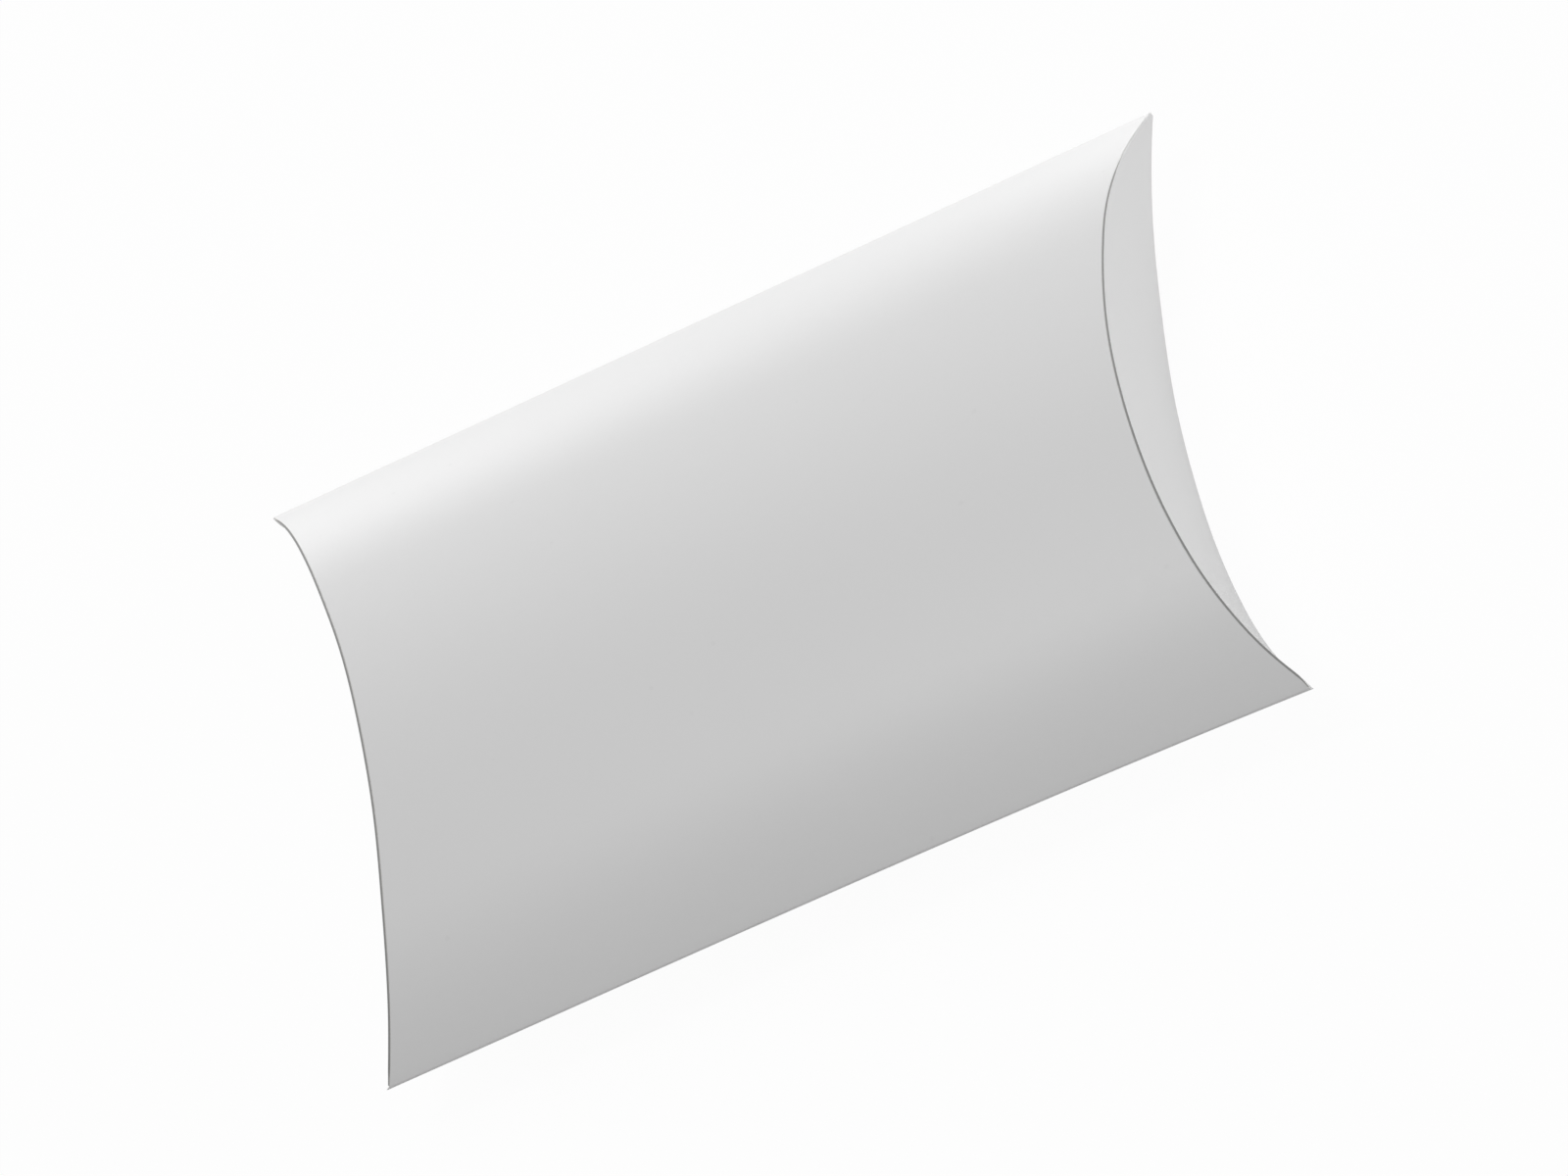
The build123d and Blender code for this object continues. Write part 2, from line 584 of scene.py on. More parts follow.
class ArchRule:
    """The section of a panel: crown, shoulders and rounded folds, as formulas of its slope."""

    def __init__(self, shape: ShapeTree, sizes: BoxSizes, belly: Belly) -> None:
        """Adds the rule's inputs to a tree.

        Args:
            shape: the tree that the rule belongs to.
            sizes: the box's sizes.
            belly: the panel that the rule is for.
        """
        front = belly is Belly.FRONT
        self.shape = shape
        self.belly = belly
        self.board, self.half_length, self.half_width, self.half_height = shape.given(
            sizes, "board", "half_length", "half_width", "half_height"
        )
        self.crown_angle, self.side_angle, self.crown_radius, self.shoulder_radius = shape.given(
            sizes, "crown_angle", "side_angle", "crown_radius", "shoulder_radius"
        )
        self.side_fold, self.tab_fold, self.thin_fold = shape.given(
            sizes, "side_fold", "tab_fold", "thin_fold"
        )
        self.side_bow, self.bow_skew, self.side_skew = shape.given(
            sizes, "side_bow", "bow_skew", "side_skew"
        )
        self.seam_bow, self.seam_skew, self.seam_shift = shape.given(
            sizes, "seam_bow", "seam_skew", "seam_shift"
        )
        self.tip_flare, self.set_back_rise = shape.given(sizes, "tip_flare", "set_back_rise")
        self.end_fold = shape.number("End fold", sizes.front_end_fold if front else sizes.back_end_fold)
        self.set_back = shape.number("Set back", sizes.set_back if front else 0.0)
        self.tab_y = shape.number("Tab fold reach", sizes.tab_fold_centre[0])
        self.tab_z = shape.number("Tab fold drop", sizes.tab_fold_centre[1])
        self.crown_z = self.half_height - self.crown_radius
        step = self.crown_radius - self.shoulder_radius
        self.shoulder_y = step * self.crown_angle.sine()
        self.shoulder_z = self.crown_z + step * self.crown_angle.cosine()
        self.fold_y = self.half_width - self.side_fold

    def section(self, slope: Formula, depth: Number) -> tuple[Formula, Formula]:
        """Gives the point of the section where it has a slope.

        Args:
            slope: the slope, positive where the panel rises towards positive y.
            depth: how far the point lies under the outer face.

        Returns:
            The point's y, and its height over the middle plane.
        """
        turn = slope.size()
        on_shoulder = turn.over(self.crown_angle)
        on_fold = turn.over(self.side_angle)
        fold_y, fold_z, fold_radius = self.fold_y, 0.0, self.side_fold
        if self.belly is Belly.BACK:
            seam = 1.0 - slope.over(0.0)
            fold_y = seam.choose(self.tab_y, fold_y)
            fold_z = self.tab_z * seam
            fold_radius = seam.choose(self.tab_fold, fold_radius)
        centre_y = on_fold.choose(fold_y, self.shoulder_y * on_shoulder)
        centre_z = on_fold.choose(fold_z, on_shoulder.choose(self.shoulder_z, self.crown_z))
        bend = on_shoulder.choose(self.shoulder_radius, self.crown_radius)
        reach = on_fold.choose(fold_radius, bend) - depth
        y = -slope.sign() * (centre_y + reach * turn.sine())
        return y, centre_z + reach * turn.cosine()

    def inset(self, height: Formula) -> Formula:
        """Gives how far an end crease is set back, where the arch has a height over the middle."""
        return self.set_back * height.share(0.0, self.set_back_rise)

    def fold_radius(self, height: Formula, side: Formula) -> Formula:
        """Gives the radius of an end crease's fold, on the outer face (side 0) or the inner (1)."""
        # It is smaller where the box gets thin. The inner face of a sharp fold keeps an arc of one
        # board, which leaves it as a plain corner.
        outer = self.end_fold.least(height.most(0.0) * self.thin_fold)
        return outer + (outer.most(self.board) - outer) * side

    def drift(self, end: End, belly: Belly, y: Formula, height: Formula) -> Formula:
        """Gives how far an end crease runs inside its nominal curve.

        Args:
            end: the end of the box.
            belly: the panel whose crease it is.
            y: the place across the box.
            height: the height of the arch there.

        Returns:
            The drift, held back at the corner tips, which stay within the box's length.
        """
        label = f"{end.name} {belly.name}".capitalize()
        drift = DRIFTS[end, belly].formula(self.shape, label, y / self.half_width)
        limit = height.most(0.0) * self.tip_flare
        outward = (-drift).most(0.0)
        limit_square, outward_square = limit * limit, outward * outward
        total = limit_square * limit_square + outward_square * outward_square + ABOVE_ZERO
        eased = outward * limit / total.root().root()
        return drift.most(-eased)

    def bowed(self, place: Point) -> Point:
        """Draws the side creases in.

        Args:
            place: a place on the straight box.

        Returns:
            The same place on the box as it stands.
        """
        along = place.x / self.half_length
        middle = 1.0 - along * along
        left, right = (1.0 - along) * 0.5, (1.0 + along) * 0.5
        seam = self.seam_bow * middle + self.seam_skew * left * left + self.seam_shift
        near = self.side_bow * middle * (1.0 + along * self.bow_skew) + self.side_skew * right * right
        pull = place.y.over(0.0).choose(seam, near)
        return Point(place.x, place.y * (1.0 - pull / self.half_width), place.z)


@dataclass(frozen=True)
class Stations:
    """How the slope changes from row to row across a leaf, as pairs of a slope and a row count."""

    start: float
    runs: tuple[tuple[float, int], ...]

    @property
    def count(self) -> int:
        """The number of steps from the first row to the last."""
        return sum(steps for _, steps in self.runs)

    def slope(self, row: Formula) -> Formula:
        """Works out the slope of a row.

        Args:
            row: the row's number.

        Returns:
            Its slope.
        """
        result: Number = self.start
        slope, first = self.start, 0
        for next_slope, steps in self.runs:
            result = row.share(first, first + steps) * (next_slope - slope) + result
            slope, first = next_slope, first + steps
        return result


@dataclass(frozen=True)
class BoardColours:
    """The three materials of a leaf: its coated face, its bare back and its cut edges."""

    face: bpy.types.Material
    back: bpy.types.Material
    edge: bpy.types.Material


class LeafTree(ShapeTree):
    """A tree that makes one leaf of board from a single grid.

    The grid's columns run along the coated face, back along the bare one, and close on the first
    again. Its first and last row lie half-way through the board and close the ends of the rows.
    """

    def __init__(self, name: str, columns: int, rows: int, colours: BoardColours) -> None:
        """Makes the grid and its two counters.

        Args:
            name: the leaf's name.
            columns: the steps along one face of the leaf.
            rows: the steps across the leaf.
            colours: the leaf's materials.
        """
        super().__init__(name)
        self.columns = columns
        self.rows = rows
        self.colours = colours
        self.grid = self.node("GeometryNodeMeshGrid")
        self.grid.inputs["Vertices X"].default_value = 2 * columns + 3
        self.grid.inputs["Vertices Y"].default_value = rows + 3
        column = (self.index() / float(rows + 3)).floor()
        row = self.index() - column * float(rows + 3)
        back = column.over(columns + 0.5) * (1.0 - column.over(2 * columns + 1.5))
        self.along = (column.least((2.0 * columns + 1.0) - column)).most(0.0).least(float(columns))
        self.across = (row - 1.0).most(0.0).least(float(rows))
        rim = (1.0 - row.over(0.5)) + row.over(rows + 1.5)
        self.side = rim.choose(0.5, back)

    def finish(
        self, place: Point, cut: Cut, fold: Number = 0.0, turn: Formula | None = None
    ) -> None:
        """Puts the grid in place, closes it and gives it its materials.

        Args:
            place: where each point goes.
            cut: which of the leaf's borders are cut edges.
            fold: how much each point is part of a fold, from 0 to 1.
            turn: how much each point follows the flap's body, from 0 to 1.
        """
        mesh = self.grid.outputs["Mesh"]
        mesh = self.store(mesh, SIDE_ATTRIBUTE, self.side)
        mesh = self.store(mesh, FOLD_ATTRIBUTE, fold)
        if turn is not None:
            mesh = self.store(mesh, TURN_ATTRIBUTE, turn)
        mesh = self.place(mesh, place)
        reader = self.node("GeometryNodeInputNamedAttribute", data_type="FLOAT")
        reader.inputs["Name"].default_value = SIDE_ATTRIBUTE
        side = Formula(self.tree, reader.outputs[0])
        mesh = self.paint(mesh, self.colours.face)
        mesh = self.paint(mesh, self.colours.back, side.over(BARE_ABOVE))
        for low, high in CUT_BANDS[cut]:
            mesh = self.paint(mesh, self.colours.edge, side.over(low) - side.over(high))
        weld = self.node("GeometryNodeMergeByDistance")
        self.join(mesh, weld.inputs["Geometry"])
        weld.inputs["Distance"].default_value = WELD_DISTANCE
        real = self.node("GeometryNodeRealizeInstances")
        self.join(weld.outputs[0], real.inputs[0])
        self.join(real.outputs[0], self.result.inputs[0])


def closed_mesh(piece: bpy.types.Object) -> bpy.types.Object:
    """Turns all faces of a closed piece outwards and smooths its gentle bends.

    Args:
        piece: the object whose mesh is finished.

    Returns:
        The same object.
    """
    mesh = bmesh.new()
    mesh.from_mesh(piece.data)
    bmesh.ops.dissolve_degenerate(mesh, dist=WELD_DISTANCE, edges=mesh.edges)
    bmesh.ops.recalc_face_normals(mesh, faces=mesh.faces)
    for face in mesh.faces:
        face.smooth = True
    for edge in mesh.edges:
        if not edge.is_manifold:
            log.warning("%s is open at edge %d", piece.name, edge.index)
        elif edge.calc_face_angle() > SMOOTH_ANGLE:
            edge.smooth = False
    mesh.to_mesh(piece.data)
    mesh.free()
    return piece


@dataclass
class Panel:
    """One arched panel of the sleeve."""

    sizes: BoxSizes
    belly: Belly
    colours: BoardColours
    columns: int = 96
    fold_rows: int = 6
    shoulder_rows: int = 18
    crown_rows: int = 30
    edge_rows: int = 2
    tab_rows: int = 10
    tab_end: float = 84.0 * MM  # from the middle of the length to where the tab's fold ends
    tab_fade: float = 0.6 * MM
    fold_fade: float = 1.6  # slope at which a fold is all fold, in side angles
    ripple: float = 0.05 * MM  # depth of the panel's faint dents
    ripple_waves: float = 22.0  # how many of them there are to a metre
    ripple_seed: float = 3.0

    @property
    def name(self) -> str:
        """The panel's name, which is also its solid's."""
        return "front_panel" if self.belly is Belly.FRONT else "back_panel"

    @property
    def tab_start(self) -> float:
        """The slope at which the glue tab's fold starts."""
        return -self.sizes.slope_at(self.sizes.tab_fold_start, 0.0)

    def stations(self) -> Stations:
        """Lays out the rows across the panel.

        Returns:
            The rows, to the seam's cut edge on the front and round the glue tab's fold on the back.
        """
        side, crown = self.sizes.side_angle, self.sizes.crown_angle
        seam_runs = ((-side, self.shoulder_rows), (-side, self.edge_rows))
        if self.belly is Belly.BACK:
            seam_runs = ((self.tab_start, self.shoulder_rows), (side - math.pi, self.tab_rows))
        near_runs = ((side, self.fold_rows), (crown, self.shoulder_rows), (-crown, self.crown_rows))
        return Stations(QUARTER_TURN, (*near_runs, *seam_runs))

    def tab_slope(self, tree: LeafTree, slope: Formula) -> Formula:
        """Lets the back panel end in a cut edge at its side crease, beyond the glue tab's ends.

        Args:
            tree: the panel's tree.
            slope: the slope of its rows.

        Returns:
            The slope, with no turn round the tab's fold where there is no tab.
        """
        start, end, fade = tree.given(self, "tab_start", "tab_end", "tab_fade")
        along = (tree.along / float(self.columns) * 2.0 - 1.0).size() * self.sizes.half_length
        kept = along.share(end + fade, end)
        turned = slope.least(start)
        return slope.most(start) + (turned - start) * kept

    def seam_stretch(self, tree: LeafTree) -> Number:
        """Works out how far a row lies past the front panel's last bend, towards its cut edge.

        Args:
            tree: the panel's tree.

        Returns:
            The distance, which is 0 in all rows but the front panel's last ones.
        """
        if self.belly is Belly.BACK:
            return 0.0
        share = tree.across.share(float(tree.rows - self.edge_rows), float(tree.rows))
        return share * tree.number("Seam reach", self.sizes.seam_reach)

    def profile(
        self, arch: ArchRule, slope: Formula, stretch: Number, depth: Number
    ) -> tuple[Formula, Formula]:
        """Gives the point of the panel's section in a row.

        Args:
            arch: the section's rule.
            slope: the row's slope.
            stretch: how far it lies past the last bend.
            depth: how far the point lies under the outer face.

        Returns:
            The point's y, and its height over the middle plane.
        """
        y, height = arch.section(slope, depth)
        angle = self.sizes.side_angle
        return y + stretch * math.cos(angle), height - stretch * math.sin(angle)

    def build(self) -> bpy.types.Object:
        """Makes the panel and lets it ride on the sleeve.

        Returns:
            The panel's object.
        """
        stations = self.stations()
        tree = LeafTree(self.name, self.columns, stations.count, self.colours)
        arch = ArchRule(tree, self.sizes, self.belly)
        ripple, waves = tree.given(self, "ripple", "ripple_waves")
        seed = tree.number("Seed", self.ripple_seed + self.belly.value)
        slope = stations.slope(tree.across)
        if self.belly is Belly.BACK:
            slope = self.tab_slope(tree, slope)
        stretch = self.seam_stretch(tree)
        y, height = self.profile(arch, slope, stretch, 0.0)
        rise = height.size()
        reach = arch.half_length - arch.inset(rise) - rise - arch.fold_radius(rise, tree.side)
        left = reach - arch.drift(End.LEFT, self.belly, y, rise)
        right = reach - arch.drift(End.RIGHT, self.belly, y, rise)
        x = tree.along / float(self.columns) * (left + right) - left
        calm_y = 1.0 - (y / arch.half_width) * (y / arch.half_width)
        calm_x = 1.0 - (x / reach) * (x / reach)
        dent = (tree.noise(Point(x, y, 0.0), waves, seed) + 0.5) * ripple
        dent = dent * calm_y.most(0.0) * calm_x.most(0.0)
        y, height = self.profile(arch, slope, stretch, arch.board * tree.side + dent)
        place = arch.bowed(Point(x, y, height * float(self.belly.value) + arch.half_height))
        fold = slope.size().share(self.sizes.side_angle, self.sizes.side_angle * self.fold_fade)
        tree.finish(place, Cut.ROWS, fold)
        piece = closed_mesh(tree.bake(self.name + "_board"))
        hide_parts(self.name)
        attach(piece, "sleeve")
        return piece


@dataclass
class ClosingFlap:
    """One flap of one end, with the rounded fold that joins it to its panel."""

    sizes: BoxSizes
    end: End
    belly: Belly
    colours: BoardColours
    fold_steps: int = 8
    wall_steps: int = 28
    edge_steps: int = 4
    shoulder_rows: int = 26
    crown_rows: int = 40
    tip_slope: float = math.radians(0.25)  # how much flatter the first row is than a side crease
    edge_round: float = 0.04 * MM  # radius of the cut edge
    rolled_edge: float = 0.21 * MM  # the same where the edge rolls over at a corner tip
    roll_start: float = 2.5 * MM  # from the side crease to where it begins to roll over
    roll_end: float = 0.7 * MM  # and to where it has
    seam_roll_start: float = 14.5 * MM  # the same two at the right end of the seam
    seam_roll_end: float = 8.7 * MM
    lift_limit: float = 0.35  # most that an inner flap's cut edge is lifted, in arch heights
    fold_fade: float = 30.0  # how soon the crease's wear fades up the wall
    bead: float = 0.1 * MM  # height of the bead inside the crease
    bead_width: float = 0.7 * MM
    wave: float = 0.06 * MM  # how far the wall sways in and out at its cut edge
    wave_count: float = 30.0  # how many waves there are to a metre
    wave_seed: float = 11.0

    @property
    def name(self) -> str:
        """The flap's name, which is also its solid's."""
        layer = "outer" if self.belly is Belly.BACK else "inner"
        return f"{self.end.name.lower()}_{layer}_flap"

    @property
    def body(self) -> str:
        """The body that the flap turns with."""
        return self.name.removesuffix("_flap")

    def stations(self) -> Stations:
        """Lays out the rows.

        Returns:
            The rows from one corner tip to the other.
        """
        tip, crown = self.sizes.side_angle - self.tip_slope, self.sizes.crown_angle
        runs = ((crown, self.shoulder_rows), (-crown, self.crown_rows), (-tip, self.shoulder_rows))
        return Stations(tip, runs)

    def rolled(self, tree: LeafTree, arch: ArchRule, y: Formula) -> Formula:
        """Works out how round the cut edge is: it is square, and rolls over at the corner tips.

        Args:
            tree: the tree that the formula belongs to.
            arch: the section's rule.
            y: the place across the box.

        Returns:
            The radius of the edge's rounding.
        """
        square, rolled, start, end = tree.given(
            self, "edge_round", "rolled_edge", "roll_start", "roll_end"
        )
        near = (arch.half_width + y).share(start, end)
        if self.end is End.RIGHT:
            start, end = tree.given(self, "seam_roll_start", "seam_roll_end")
        far = (arch.half_width - y).share(start, end)
        return square + (rolled - square) * near.most(far)

    def drift(self, arch: ArchRule, y: Formula, height: Formula, rise: Formula) -> Formula:
        """Works out how far the wall lies inside its nominal curve.

        Args:
            arch: the section's rule.
            y: the place across the box.
            height: the height of the arch there.
            rise: how far up the wall the point is.

        Returns:
            The drift: its own crease's at the bottom, and the other panel's crease's at the top.
        """
        near = arch.drift(self.end, self.belly, y, height)
        far = arch.drift(self.end, Belly(-self.belly.value), y, height)
        return near + (far - near) * (rise / (height * 2.0))

    def inward(self, angle: Formula, steep: Formula) -> Point:
        """Works out the way into the board, square to the flap's outer face.

        Args:
            angle: how far the crease has turned there.
            steep: the tangent of the panel's slope there.

        Returns:
            The way, one long.
        """
        length = (1.0 + steep * steep * (1.0 - (angle * 2.0).sine())).root()
        return Point(
            -angle.sine() / length,
            -steep * (angle.sine() - angle.cosine()) / length,
            angle.cosine() / length,
        )

    def turn(
        self, arch: ArchRule, hinge: Formula, point: Point, level: Formula, flat: Formula
    ) -> Formula:
        """Works out how far a point turns about the hinge when the flap has opened.

        A scored flap bends along its curved crease. Each point swings from its closed place to
        the height that the same depth of board has in the panel, as the opened flap continues it.

        Args:
            arch: the section's rule.
            hinge: how far the hinge line lies from the middle of the length.
            point: the closed place, with the mid-plane at zero and the flap's panel below it.
            level: how far over the hinge line the point lies in the opened flap.
            flat: how far outside the hinge line it lies then, of which only the sign counts.

        Returns:
            The point's turn as a share of a quarter turn.
        """
        across, rise = point.x - hinge, point.z + arch.half_height
        opened = (across * across + rise * rise - level * level).most(0.0).root() * flat.sign()
        return ((rise.heading(across) - level.heading(opened)) / QUARTER_TURN).most(0.0).least(1.0)

    def build(self) -> bpy.types.Object:
        """Makes the flap and lets it bend between the sleeve and its own body.

        Returns:
            The flap's object.
        """
        stations = self.stations()
        steps = self.fold_steps + self.wall_steps + self.edge_steps
        tree = LeafTree(self.name, steps, stations.count, self.colours)
        arch = ArchRule(tree, self.sizes, self.belly)
        outer = self.belly is Belly.BACK
        hinge_set_back = tree.number("Hinge set back", 0.0 if outer else self.sizes.hinge_set_back)
        lift = tree.number("Edge lift", 0.0 if outer else self.sizes.inner_edge_lift)
        wave, waves, bead, bead_width = tree.given(self, "wave", "wave_count", "bead", "bead_width")
        seed = tree.number("Seed", self.wave_seed + self.end.value * 2 + self.belly.value)
        slope = stations.slope(tree.across)
        y, height = arch.section(slope, 0.0)
        bend = tree.along.share(0.0, float(self.fold_steps))
        wall = tree.along.share(float(self.fold_steps), float(self.fold_steps + self.wall_steps))
        wall = wall * wall
        edge = tree.along.share(float(self.fold_steps + self.wall_steps), float(steps)) * QUARTER_TURN
        steep = slope.tangent()
        slant = steep * steep / (1.0 + steep * steep).root() * arch.board * tree.side
        edge_round = self.rolled(tree, arch, y)
        reach = height * (2.0 if outer else 1.0) - lift.least(height * self.lift_limit)
        radius = arch.fold_radius(height, tree.side)
        angle = bend * QUARTER_TURN
        rise = radius * (1.0 - angle.cosine())
        rise = rise + wall * (reach - slant - radius - edge_round).most(0.0) + edge_round * edge.sine()
        drift = self.drift(arch, y, height, rise)
        crease = arch.half_length - arch.inset(height) - height
        x = crease - radius * (1.0 - angle.sine()) - drift
        trim = edge_round * (1.0 - edge.cosine())
        sway = (tree.noise(Point(y, rise, 0.0), waves, seed) + 0.5) * wave * (rise / reach)
        from_crease = (rise - radius) / bead_width
        ridge = (1.0 - (from_crease * 2.0 - 1.0) * (from_crease * 2.0 - 1.0)).most(0.0)
        ridge = ridge * bend * tree.side * bead
        depth = (arch.board - trim - trim) * tree.side + trim + sway + ridge
        point = Point(x, y, rise - height).moved(self.inward(angle, steep), depth)
        z = point.z * -float(self.belly.value) + arch.half_height
        place = arch.bowed(Point(point.x * float(self.end.value), point.y, z))
        hinge = arch.half_length - arch.half_height - hinge_set_back
        flat = crease - radius - drift + radius * angle + (rise - radius).most(0.0) - hinge
        level = arch.half_height - height + depth * slope.cosine()
        turn = self.turn(arch, hinge, point, level, flat)
        fold = bend * (1.0 - wall * self.fold_fade).most(0.0)
        tree.finish(place, Cut.COLUMNS, fold, turn)
        piece = closed_mesh(tree.bake(self.name + "_board"))
        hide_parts(self.name)
        self.hang(piece)
        return piece

    def hang(self, piece: bpy.types.Object) -> None:
        """Lets a piece bend with the flap, by the turn that its tree worked out for each point.

        Args:
            piece: a piece whose mesh carries the turn attribute.
        """
        sign = float(self.end.value)
        start = Vector((0.0, 0.0, 0.0))
        ends = Vector((-sign, 0.0, -float(self.belly.value))) * self.sizes.half_height
        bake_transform(piece, "sleeve", self.body, start=start, end=ends)
        # The even blend between two places is then replaced with each point's own turn
        mesh = piece.data
        turns = [item.value for item in mesh.attributes[TURN_ATTRIBUTE].data]
        mesh.attributes["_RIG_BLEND"].data.foreach_set("value", turns)
        mesh.attributes.remove(mesh.attributes[TURN_ATTRIBUTE])


@dataclass
class GlueTab:
    """The narrow leaf that the back panel turns up inside the front panel."""

    sizes: BoxSizes
    colours: BoardColours
    width: float = 14.0 * MM
    end_gap: float = 5.75 * MM  # from a corner tip to the tab's widest place
    taper: float = 12.0 * MM  # how much shorter its free edge is, at each end
    columns: int = 60
    rows: int = 16
    corner: float = 2.0 * MM  # radius of its two corners
    wave: float = 0.04 * MM  # how far its free edge sways in and out
    waves: float = 40.0
    seed: float = 31.0

    def build(self) -> bpy.types.Object:
        """Makes the tab and lets it ride on the sleeve.

        Returns:
            The tab's object.
        """
        sizes = self.sizes
        root, edge = sizes.tab_fold_start, sizes.half_width - self.width
        first, last = (-sizes.slope_at(place, sizes.tab_depth) for place in (root, edge))
        stations = Stations(first, ((last, self.rows),))
        tree = LeafTree("glue_tab", self.columns, stations.count, self.colours)
        arch = ArchRule(tree, sizes, Belly.FRONT)
        depth = tree.number("Depth", sizes.tab_depth)
        taper, corner, end_gap, wave, waves, seed = tree.given(
            self, "taper", "corner", "end_gap", "wave", "waves", "seed"
        )
        slope = stations.slope(tree.across)
        y, _ = arch.section(slope, depth)
        inwards = (root - y) / (root - edge)
        turn = ((y - edge) / corner).share(1.0, 0.0)
        rounding = corner * (1.0 - (1.0 - turn * turn).most(0.0).root())
        reach = arch.half_length - end_gap - taper * inwards - rounding
        x = (tree.along / float(self.columns) * 2.0 - 1.0) * reach
        sway = (tree.noise(Point(x, y, 0.0), waves, seed) + 0.5) * wave * inwards
        y, height = arch.section(slope, depth + arch.board * tree.side + sway)
        tree.finish(arch.bowed(Point(x, y, height + arch.half_height)), Cut.ALL)
        piece = closed_mesh(tree.bake("glue_tab_board"))
        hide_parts("glue_tab")
        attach(piece, "sleeve")
        return piece


@dataclass
class GlueLine:
    """The ribbon of adhesive between the glue tab and the front panel, with its uneven border."""

    sizes: BoxSizes
    glue: bpy.types.Material
    start: float = 2.2 * MM  # from the seam to the ribbon's near border
    end: float = 11.5 * MM  # from the seam to its far border
    end_gap: float = 12.0 * MM
    taper: float = 7.0 * MM
    clearance: float = 0.02 * MM  # to each of the two boards
    columns: int = 160
    rows: int = 8
    spread: float = 1.6 * MM  # how uneven its borders are
    waves: float = 130.0
    end_waves: float = 4.0
    seed: float = 47.0

    def build(self) -> bpy.types.Object:
        """Makes the ribbon and lets it ride on the sleeve.

        Returns:
            The ribbon's object.
        """
        sizes = self.sizes
        top = sizes.board + self.clearance
        places = (sizes.half_width - self.start, sizes.half_width - self.end)
        first, last = (-sizes.slope_at(place, top) for place in places)
        stations = Stations(first, ((last, self.rows),))
        colours = BoardColours(self.glue, self.glue, self.glue)
        tree = LeafTree("glue_line", self.columns, stations.count, colours)
        arch = ArchRule(tree, sizes, Belly.FRONT)
        thickness = tree.number("Thickness", sizes.tab_depth - top - self.clearance)
        spread, waves, seed = tree.given(self, "spread", "waves", "seed")
        across = tree.across / float(self.rows)
        along = tree.along / float(self.columns) * 2.0 - 1.0
        reach = tree.number("Half length of glue", sizes.half_length - self.end_gap)
        reach = reach - across * self.taper
        border = tree.noise(Point(along, 0.0, 0.0), waves * reach, seed) * spread
        slope = stations.slope(tree.across) + (across * 2.0 - 1.0) * border / sizes.shoulder_radius
        end_border = tree.noise(Point(across, along.sign(), 0.0), self.end_waves, seed + 1.0) * spread
        x = along * reach + end_border * along
        y, height = arch.section(slope, thickness * tree.side + top)
        tree.finish(arch.bowed(Point(x, y, height + arch.half_height)), Cut.ALL)
        piece = closed_mesh(tree.bake("glue_line_film"))
        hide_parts("glue_line")
        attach(piece, "sleeve")
        return piece


@dataclass(frozen=True)
class Pattern:
    """A layer of unevenness.

    Args:
        scale: how many waves there are to a metre.
        detail: how many finer layers lie on it.
        stretch: how much denser it is along each axis.
    """

    scale: float
    detail: float = 4.0
    stretch: Triple = (1.0, 1.0, 1.0)


CLOUD = Pattern(28.0)
PEEL = Pattern(450.0, 2.0)
CRACK = Pattern(900.0, 3.0, (1.0, 0.25, 1.0))
LAYER = Pattern(5000.0, 2.0, (0.12, 0.12, 1.0))


